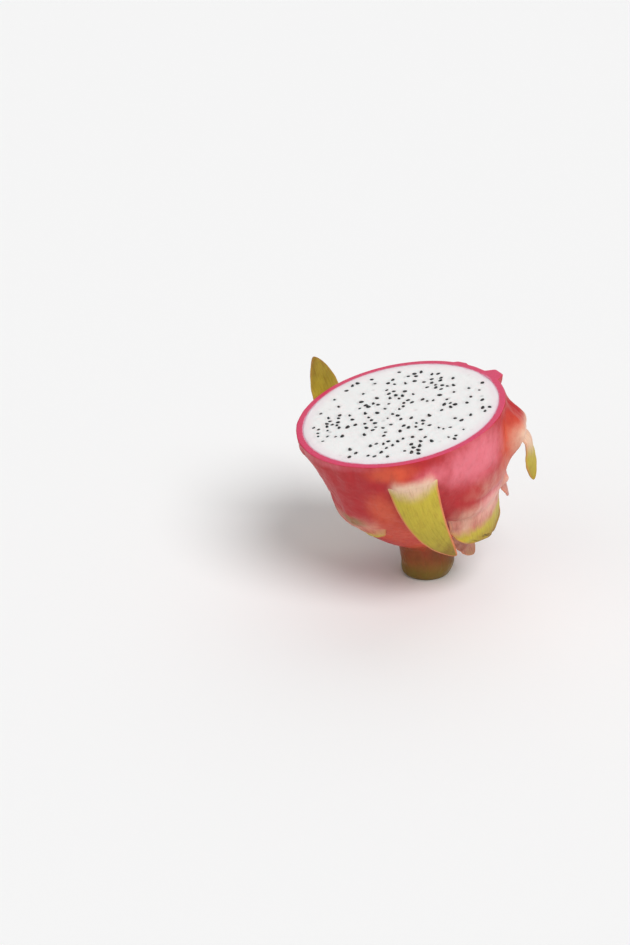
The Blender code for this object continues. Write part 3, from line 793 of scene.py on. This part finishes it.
def ripening_group():
    """Colour of rind from its masks. Crimson turns in order to coral, pink, pale, green, olive, dry and salmon edge,
    each by its own mask, whose border a noise of the place breaks up. The pink also paints a highlight where its mask
    holds the painted-highlight oval."""
    if "ripening" in bpy.data.node_groups:
        return bpy.data.node_groups["ripening"]
    looks = bpy.context.scene.dragon_fruit_rind
    colours = [("Crimson", looks.crimson), ("Coral", looks.coral), ("Pink", looks.pink)]
    colours += [("Pale", looks.pale), ("Green", looks.green), ("Olive", looks.olive)]
    colours += [("Dry", looks.dry), ("Edge", looks.edge)]
    inputs = [(label, "NodeSocketColor", opaque(colour)) for label, colour in colours]
    inputs += [("Blush mask", "NodeSocketColor", None), ("Leaf mask", "NodeSocketColor", None)]
    inputs += [("Edge mask", "NodeSocketFloat", 0.0), ("Place", "NodeSocketVector", None)]
    group, given, result = new_group("ripening", inputs, [("Color", "NodeSocketColor")])
    place = given.outputs["Place"]
    blotches = noise(group, place, 190.0, 4.0, 0.6)
    blush = put(group, "ShaderNodeSeparateColor", {0: given.outputs["Blush mask"]})
    leaf = put(group, "ShaderNodeSeparateColor", {0: given.outputs["Leaf mask"]})
    masks = [*blush.outputs, *leaf.outputs, given.outputs["Edge mask"]]
    colour = given.outputs["Crimson"]
    for (label, _), mask in zip(colours[1:], masks):
        room = maths(group, "MULTIPLY", mask, maths(group, "SUBTRACT", 1.0, mask))
        shift = maths(group, "MULTIPLY", maths(group, "SUBTRACT", blotches, 0.5), 4.0)
        share = maths(group, "MULTIPLY_ADD", room, shift, mask, clamp=True)
        colour = mixed(group, share, colour, given.outputs[label])
    deeper = mixed(group, 1.0, colour, (0.80, 0.62, 0.62, 1.0), "MULTIPLY")
    colour = mixed(group, ranged(group, noise(group, place, 420.0, 5.0, 0.65), 0.45, 0.75, 0.0, 0.45), colour, deeper)
    group.links.new(colour, result.inputs[0])
    return group


def leather_group():
    """Height of leathery rind: small wrinkles and pores over a broader unevenness."""
    if "leather" in bpy.data.node_groups:
        return bpy.data.node_groups["leather"]
    inputs = [("Place", "NodeSocketVector", None), ("Pores", "NodeSocketFloat", 0.5)]
    group, given, result = new_group("leather", inputs, [("Height", "NodeSocketFloat")])
    place = given.outputs["Place"]
    wrinkles = noise(group, place, 900.0, 6.0, 0.6)
    cells = put(group, "ShaderNodeTexVoronoi", {"Vector": place, "Scale": 1400.0}, feature="F1")
    pores = maths(group, "MULTIPLY", ranged(group, cells.outputs["Distance"], 0.0, 0.35), given.outputs["Pores"])
    height = maths(group, "ADD", wrinkles, pores)
    group.links.new(height, result.inputs[0])
    return group


def new_material(name):
    """A named material, its node tree and its Principled shader, or no shader if it is made."""
    if name in bpy.data.materials:
        return bpy.data.materials[name], None, None
    material = bpy.data.materials.new(name)
    material.use_nodes = True
    tree = material.node_tree
    return material, tree, tree.nodes["Principled BSDF"]


def attribute(tree, name):
    return put(tree, "ShaderNodeAttribute", attribute_name=name, attribute_type="GEOMETRY")


def object_place(tree, stretch=(1.0, 1.0, 1.0)):
    """Object coordinates, turned to the fruit's axis and squeezed or drawn out along it."""
    body = bpy.context.scene.dragon_fruit_body
    back = lean(body).transposed().to_euler()
    texture = tree.nodes.new("ShaderNodeTexCoord")
    values = {"Vector": texture.outputs["Object"], "Rotation": tuple(back), "Scale": stretch}
    return put(tree, "ShaderNodeMapping", values, vector_type="POINT").outputs[0]


def bumped(tree, shader, height, strength, distance):
    """Feeds a height to the shader's normal."""
    values = {"Height": height, "Strength": strength, "Distance": distance}
    bump = put(tree, "ShaderNodeBump", values)
    tree.links.new(bump.outputs[0], shader.inputs["Normal"])


def skin_material():
    """Waxy, leathery skin that ripens from crimson to coral, pink and olive."""
    material, tree, shader = new_material("dragon fruit skin")
    if shader is None:
        return material
    place = object_place(tree, (1.0, 1.0, 0.6))
    values = {"Blush mask": attribute(tree, "blush").outputs["Color"], "Place": place}
    values["Leaf mask"] = attribute(tree, "leaf").outputs["Color"]
    colour = use_group(tree, ripening_group(), values).outputs[0]
    tree.links.new(colour, shader.inputs["Base Color"])
    rough = ranged(tree, noise(tree, place, 260.0, 4.0), 0.3, 0.7, 0.34, 0.50)
    tree.links.new(rough, shader.inputs["Roughness"])
    shader.inputs["Specular IOR Level"].default_value = 0.25
    shader.inputs["Subsurface Weight"].default_value = 0.12
    shader.inputs["Subsurface Radius"].default_value = (1.0, 0.3, 0.25)
    shader.inputs["Subsurface Scale"].default_value = 0.0012
    height = use_group(tree, leather_group(), {"Place": place, "Pores": 0.35}).outputs[0]
    bumped(tree, shader, height, 0.35, 0.00025)
    return material


def scale_material():
    """Leathery leaf: the skin's ripening carried on to green, with veins along the blade."""
    material, tree, shader = new_material("dragon fruit scale")
    if shader is None:
        return material
    place = object_place(tree, (1.0, 1.0, 0.6))
    grain = attribute(tree, "grain").outputs["Vector"]
    drawn = put(tree, "ShaderNodeMapping", {"Vector": grain, "Scale": (1.0, 0.09, 1.0)}).outputs[0]
    veins = noise(tree, drawn, 1500.0, 3.0, 0.6)
    values = {"Blush mask": attribute(tree, "blush").outputs["Color"], "Place": place}
    values["Leaf mask"] = attribute(tree, "leaf").outputs["Color"]
    values["Edge mask"] = attribute(tree, "edge").outputs["Fac"]
    colour = use_group(tree, ripening_group(), values).outputs[0]
    streaked = mixed(tree, ranged(tree, veins, 0.45, 0.75, 0.0, 0.28), colour, (0.30, 0.26, 0.05, 1.0), "MULTIPLY")
    tree.links.new(streaked, shader.inputs["Base Color"])
    rough = ranged(tree, noise(tree, place, 260.0, 4.0), 0.3, 0.7, 0.38, 0.55)
    tree.links.new(rough, shader.inputs["Roughness"])
    shader.inputs["Specular IOR Level"].default_value = 0.25
    shader.inputs["Subsurface Weight"].default_value = 0.10
    shader.inputs["Subsurface Radius"].default_value = (0.9, 0.6, 0.2)
    shader.inputs["Subsurface Scale"].default_value = 0.0010
    height = use_group(tree, leather_group(), {"Place": place, "Pores": 0.1}).outputs[0]
    height = maths(tree, "ADD", height, maths(tree, "MULTIPLY", veins, 1.5))
    bumped(tree, shader, height, 0.35, 0.00025)
    return material


def cut_rind_material():
    """The cut rind: moist magenta flesh, paler where it meets the pulp."""
    material, tree, shader = new_material("dragon fruit cut rind")
    if shader is None:
        return material
    looks = bpy.context.scene.dragon_fruit_rind
    place = object_place(tree)
    from_pulp = attribute(tree, "from_pulp").outputs["Fac"]
    uneven = maths(tree, "MULTIPLY_ADD", noise(tree, place, 500.0, 4.0), 0.30, maths(tree, "SUBTRACT", from_pulp, 0.15))
    colour = mixed(tree, ranged(tree, uneven, 0.0, 0.22), opaque(looks.cut_inner), opaque(looks.cut_magenta))
    colour = mixed(tree, ranged(tree, noise(tree, place, 900.0, 3.0), 0.4, 0.7, 0.0, 0.35), colour, opaque(looks.cut_deep))
    tree.links.new(colour, shader.inputs["Base Color"])
    shader.inputs["Roughness"].default_value = 0.34
    shader.inputs["Subsurface Weight"].default_value = 0.25
    shader.inputs["Subsurface Radius"].default_value = (1.0, 0.4, 0.5)
    shader.inputs["Subsurface Scale"].default_value = 0.0015
    bumped(tree, shader, noise(tree, place, 1100.0, 4.0), 0.30, 0.00025)
    return material


def pulp_material():
    """Wet white pulp, pink close to the rind, with grey shadows of seeds that lie deeper."""
    material, tree, shader = new_material("dragon fruit pulp")
    if shader is None:
        return material
    looks = bpy.context.scene.dragon_fruit_pulp
    place = object_place(tree)
    from_rind = attribute(tree, "from_rind").outputs["Fac"]
    near_seed = attribute(tree, "near_seed").outputs["Fac"]
    wander = maths(tree, "MULTIPLY_ADD", noise(tree, place, 160.0, 3.0), 0.0024, maths(tree, "SUBTRACT", from_rind, 0.0012))
    colour = mixed(tree, ranged(tree, wander, 0.0, 0.0060), opaque(looks.near_rind), opaque(looks.pulp))
    colour = mixed(tree, ranged(tree, wander, 0.0, 0.0009), opaque(looks.at_rind), colour)
    cells = put(tree, "ShaderNodeTexVoronoi", {"Vector": place, "Scale": 215.0, "Randomness": 1.0}, feature="F1")
    spot = ranged(tree, cells.outputs["Distance"], 0.06, 0.30, 1.0, 0.0)
    chosen = put(tree, "ShaderNodeSeparateColor", {0: cells.outputs["Color"]}).outputs[0]
    spot = maths(tree, "MULTIPLY", spot, ranged(tree, chosen, 0.70, 0.95))
    inside = ranged(tree, from_rind, 0.002, 0.005)
    colour = mixed(tree, maths(tree, "MULTIPLY", maths(tree, "MULTIPLY", spot, inside), 0.55), colour, opaque(looks.buried_seed))
    colour = mixed(tree, maths(tree, "MULTIPLY", near_seed, 0.16), colour, opaque(looks.buried_seed))
    cloudy = ranged(tree, noise(tree, place, 120.0, 4.0, 0.6), 0.45, 0.8, 0.0, 0.25)
    colour = mixed(tree, cloudy, colour, opaque(looks.watery))
    tree.links.new(colour, shader.inputs["Base Color"])
    shader.inputs["Roughness"].default_value = 0.30
    shader.inputs["Subsurface Weight"].default_value = 0.5
    shader.inputs["Subsurface Radius"].default_value = (1.0, 0.85, 0.85)
    shader.inputs["Subsurface Scale"].default_value = 0.0020
    grain = maths(tree, "ADD", noise(tree, place, 700.0, 5.0, 0.6), noise(tree, place, 2200.0, 2.0))
    bumped(tree, shader, grain, 0.25, 0.00022)
    return material


def seed_material():
    """Glossy black seed coat with a brown cast here and there."""
    material, tree, shader = new_material("dragon fruit seed")
    if shader is None:
        return material
    looks = bpy.context.scene.dragon_fruit_pulp
    place = object_place(tree)
    share = ranged(tree, noise(tree, place, 350.0, 2.0), 0.45, 0.75)
    colour = mixed(tree, share, opaque(looks.seed), opaque(looks.seed_brown))
    tree.links.new(colour, shader.inputs["Base Color"])
    shader.inputs["Roughness"].default_value = 0.28
    bumped(tree, shader, noise(tree, place, 4000.0, 2.0), 0.25, 0.00008)
    return material


def floor_material():
    """Matt near-white paper, with a faint unevenness."""
    material, tree, shader = new_material("studio floor")
    if shader is None:
        return material
    colour = opaque(bpy.context.scene.dragon_fruit_stage.floor)
    texture = tree.nodes.new("ShaderNodeTexCoord")
    share = ranged(tree, noise(tree, texture.outputs["Object"], 3.0, 2.0), 0.3, 0.7, 0.0, 0.02)
    colour = mixed(tree, share, colour, (0.9, 0.9, 0.9, 1.0))
    tree.links.new(colour, shader.inputs["Base Color"])
    shader.inputs["Roughness"].default_value = 0.9
    shader.inputs["Specular IOR Level"].default_value = 0.1
    return material


def make_floor():
    """A wide, flat sheet whose middle is under the fruit."""
    half = 6.0
    mesh = bpy.data.meshes.new("studio_floor")
    corners = [(-half, -half, 0), (half, -half, 0), (half, half, 0), (-half, half, 0)]
    mesh.from_pydata(corners, [], [(0, 1, 2, 3)])
    mesh.materials.append(floor_material())
    floor = bpy.data.objects.new("studio_floor", mesh)
    bpy.context.scene.collection.objects.link(floor)
    return floor


def add_light(name, azimuth, elevation, softness, strength):
    """A far, even light from an azimuth and elevation, as wide as its softness in degrees."""
    light = bpy.data.lights.new(name, "SUN")
    light.angle = math.radians(softness)
    light.energy = strength
    a, e = math.radians(azimuth), math.radians(elevation)
    away = Vector((math.sin(a) * math.cos(e), -math.cos(a) * math.cos(e), math.sin(e)))
    lamp = bpy.data.objects.new(name, light)
    lamp.rotation_euler = away.to_track_quat("Z", "Y").to_euler()
    bpy.context.scene.collection.objects.link(lamp)


def add_sky(strength, backdrop):
    """Even light from all round, behind which the camera sees a paler backdrop."""
    world = bpy.data.worlds.new("studio")
    world.use_nodes = True
    tree = world.node_tree
    sky = tree.nodes["Background"]
    seen = put(tree, "ShaderNodeLightPath").outputs["Is Camera Ray"]
    tree.links.new(ranged(tree, seen, 0.0, 1.0, strength, backdrop), sky.inputs["Strength"])
    sky.inputs["Color"].default_value = (1, 1, 1, 1)
    bpy.context.scene.world = world


def add_camera(target):
    """Stands the camera at the photo's elevation and turns it until the target falls on its
    pixel of the photo's frame."""
    focal = CAMERA_LENS / CAMERA_SENSOR * max(PHOTO_SIZE)
    e = math.radians(CAMERA_ELEVATION)
    forward = Vector((0, math.cos(e), -math.sin(e)))
    right = Vector((1, 0, 0))
    up = right.cross(forward)
    place = target - forward * CAMERA_DISTANCE
    pan = math.atan((CUT_CENTRE_PX[0] - PHOTO_SIZE[0] / 2) / focal)
    tilt = math.atan((CUT_CENTRE_PX[1] - PHOTO_SIZE[1] / 2) / focal)
    forward = forward * math.cos(pan) - right * math.sin(pan)
    right = forward.cross(up)
    forward = forward * math.cos(tilt) + up * math.sin(tilt)
    up = right.cross(forward)
    data = bpy.data.cameras.new("photo_camera")
    data.lens = CAMERA_LENS
    data.sensor_width = CAMERA_SENSOR
    data.sensor_fit = "AUTO"
    data.clip_start = 0.01
    data.clip_end = 50.0
    camera = bpy.data.objects.new("photo_camera", data)
    axes = Matrix((right, up, -forward)).transposed().to_4x4()
    camera.matrix_world = Matrix.Translation(place) @ axes
    bpy.context.scene.collection.objects.link(camera)
    bpy.context.scene.camera = camera


def length(name, description, default):
    return bpy.props.FloatProperty(
        name=name, description=description, default=default, min=0.0, unit="LENGTH", precision=5
    )


def number(name, description, default):
    return bpy.props.FloatProperty(name=name, description=description, default=default, min=0.0)


def whole(name, description, default):
    return bpy.props.IntProperty(name=name, description=description, default=default, min=1)


def colour(name, description, default):
    return bpy.props.FloatVectorProperty(
        name=name, description=description, default=default, size=3, min=0.0, max=1.0, subtype="COLOR"
    )


def angle(name, description, degrees):
    return bpy.props.FloatProperty(
        name=name, description=description, default=math.radians(degrees), subtype="ANGLE"
    )


class FruitBody(bpy.types.PropertyGroup):
    """Sizes of the fruit's body, which are those of the solids"""

    cut_radius: length("Cut radius", "Radius of the rind's outside at the cut", 0.0449)
    bowl_depth: length("Bowl depth", "Depth at which the bowl alone would close", 0.0630)
    fullness: number("Fullness", "Power of the bowl's superellipse", 1.8)
    foot_depth: length("Foot depth", "From the cut to the foot along the axis", 0.0792)
    rind_at_cut: length("Rind at the cut", "Thickness of the rind at the cut", 0.0030)
    rind_at_blossom_end: length("Rind at the blossom end", "Its thickness below the pulp", 0.0070)
    gap: length("Gap", "Gap between the solids of rind and pulp", 0.0003)
    lean_left: angle("Lean to the left", "Lean of the fruit's axis to the left", 10.1)
    lean_forward: angle("Lean forwards", "Lean of the fruit's axis forwards", 3.7)


class RindLooks(bpy.types.PropertyGroup):
    """Colours of the rind and its scales"""

    crimson: colour("Crimson", "Ripe skin in its deepest red", (0.50, 0.025, 0.030))
    coral: colour("Coral", "Skin that has ripened to orange", (0.72, 0.110, 0.050))
    # Also the colour of the painted highlight on the right near the cut.
    pink: colour("Pink", "Light pink skin", (0.84, 0.200, 0.250))
    pale: colour("Pale", "Roots of the scales", (0.88, 0.62, 0.45))
    green: colour("Green", "Leafy part of the scales", (0.58, 0.46, 0.050))
    olive: colour("Olive", "Darker green of tips and blossom end", (0.20, 0.16, 0.020))
    dry: colour("Dry", "Brown, dried parts", (0.26, 0.085, 0.020))
    edge: colour("Edge", "Salmon margins of the scales", (0.74, 0.24, 0.10))
    cut_magenta: colour("Cut magenta", "The cut rind", (0.72, 0.030, 0.125))
    cut_deep: colour("Cut deep", "Deeper spots of the cut rind", (0.55, 0.015, 0.080))
    cut_inner: colour("Cut inner", "Cut rind where it meets the pulp", (0.88, 0.36, 0.50))


class PulpLooks(bpy.types.PropertyGroup):
    """Colours of pulp and seeds, and where the seeds lie"""

    pulp: colour("Pulp", "White pulp", (0.93, 0.915, 0.905))
    near_rind: colour("Near the rind", "Pulp a few millimetres from the rind", (0.92, 0.80, 0.83))
    at_rind: colour("At the rind", "Pulp that touches the rind", (0.90, 0.58, 0.68))
    watery: colour("Watery", "Glassy, greyer places in the pulp", (0.83, 0.83, 0.82))
    buried_seed: colour("Buried seed", "Shadow of a seed under the surface", (0.40, 0.39, 0.39))
    seed: colour("Seed", "Seed coat", (0.010, 0.010, 0.012))
    seed_brown: colour("Seed brown", "Brown cast on some seeds", (0.030, 0.020, 0.018))
    seed_count: whole("Seeds", "Number of seeds that the cut bares", 165)
    seed_draw: whole("Draw", "Seed of the random draw that places them", 1472)
    seed_clusters: whole("Clusters", "Number of places where they lie denser", 26)
    cluster_reach: length("Cluster reach", "Radius at which a cluster thins out", 0.0042)
    between_clusters: number("Between clusters", "Density there, against a cluster's middle", 0.22)
    seed_spacing: length("Spacing", "Least distance from seed to seed", 0.0023)
    seed_free_margin: length("Free margin", "Width at the rind that holds no seeds", 0.0030)
    seed_half_length: length("Half length", "Of an average seed", 0.00108)
    seed_half_width: length("Half width", "Of an average seed", 0.00070)
    seed_half_height: length("Half height", "Of an average seed", 0.00055)
    seed_taper: number("Taper", "How much blunter one end is", 0.25)


class StageLooks(bpy.types.PropertyGroup):
    """Floor and lights of the studio"""

    floor: colour("Floor", "Near-white floor", (0.94, 0.94, 0.94))
    sky: number("Sky", "Strength of the even white light", 0.32)
    backdrop: number("Backdrop", "Brightness that the camera sees behind the floor", 0.92)
    key: number("Key", "Strength of the main light", 2.0)
    fill: number("Fill", "Strength of the light from the left", 0.25)
    back: number("Back", "Strength of the light from behind", 0.5)


class FRUIT_OT_grow_rind(bpy.types.Operator):
    """Grow the rind's skin, cut and foot in place of the solid rind"""

    bl_idname = "dragon_fruit.grow_rind"
    bl_label = "Grow rind"

    def execute(self, context):
        piece = make_rind(context.scene.dragon_fruit_body)
        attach(piece, "root")
        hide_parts("rind")
        return {"FINISHED"}


class FRUIT_OT_grow_scales(bpy.types.Operator):
    """Grow the free blade of every leafy scale"""

    bl_idname = "dragon_fruit.grow_scales"
    bl_label = "Grow scales"

    def execute(self, context):
        for name, scale in SCALES.items():
            if scale.length:
                piece = make_blade(context.scene.dragon_fruit_body, name, scale)
                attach(piece, "root")
                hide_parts("rind")
        return {"FINISHED"}


class FRUIT_OT_fill_pulp(bpy.types.Operator):
    """Fill the rind with white pulp in place of the solid flesh"""

    bl_idname = "dragon_fruit.fill_pulp"
    bl_label = "Fill with pulp"

    def execute(self, context):
        scene = context.scene
        piece = make_pulp(scene.dragon_fruit_body, scene.dragon_fruit_pulp)
        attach(piece, "root")
        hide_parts("flesh")
        return {"FINISHED"}


class FRUIT_OT_sow_seeds(bpy.types.Operator):
    """Lay the black seeds in the cut face"""

    bl_idname = "dragon_fruit.sow_seeds"
    bl_label = "Sow seeds"

    def execute(self, context):
        scene = context.scene
        piece = make_seeds(scene.dragon_fruit_body, scene.dragon_fruit_pulp)
        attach(piece, "root")
        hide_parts("flesh")
        return {"FINISHED"}


class FRUIT_OT_set_stage(bpy.types.Operator):
    """Lay the floor, set the lights and stand the camera where the photo was taken"""

    bl_idname = "dragon_fruit.set_stage"
    bl_label = "Set stage"

    def execute(self, context):
        looks = context.scene.dragon_fruit_stage
        make_floor()
        add_light("key", 40, 52, 35, looks.key)
        add_light("fill", -60, 35, 60, looks.fill)
        add_light("back", 165, 45, 60, looks.back)
        add_sky(looks.sky, looks.backdrop)
        add_camera(Vector(set_down(context.scene.dragon_fruit_body, np.zeros((1, 3)))[0]))
        context.scene.view_settings.view_transform = "Standard"
        return {"FINISHED"}


OPERATORS = (
    FRUIT_OT_grow_rind,
    FRUIT_OT_grow_scales,
    FRUIT_OT_fill_pulp,
    FRUIT_OT_sow_seeds,
    FRUIT_OT_set_stage,
)


class FRUIT_PT_panel(bpy.types.Panel):
    """Panel in the sidebar with every step and every setting"""

    bl_idname = "FRUIT_PT_panel"
    bl_label = "Dragon fruit"
    bl_space_type = "VIEW_3D"
    bl_region_type = "UI"
    bl_category = "Dragon fruit"

    def draw(self, context):
        for step in OPERATORS:
            self.layout.operator(step.bl_idname)
        for settings in SETTINGS:
            group = getattr(context.scene, settings)
            box = self.layout.box()
            for key in group.bl_rna.properties.keys():
                if key not in ("rna_type", "name"):
                    box.prop(group, key)


SETTINGS = {
    "dragon_fruit_body": FruitBody,
    "dragon_fruit_rind": RindLooks,
    "dragon_fruit_pulp": PulpLooks,
    "dragon_fruit_stage": StageLooks,
}
CLASSES = (*SETTINGS.values(), *OPERATORS, FRUIT_PT_panel)


def register():
    for kind in CLASSES:
        bpy.utils.register_class(kind)
    for name, kind in SETTINGS.items():
        setattr(bpy.types.Scene, name, bpy.props.PointerProperty(type=kind))


def unregister():
    for name in SETTINGS:
        delattr(bpy.types.Scene, name)
    for kind in reversed(CLASSES):
        bpy.utils.unregister_class(kind)


def main():
    register()
    for step in OPERATORS:
        group, name = step.bl_idname.split(".")
        getattr(getattr(bpy.ops, group), name)()


if __name__ == "__main__":
    main()
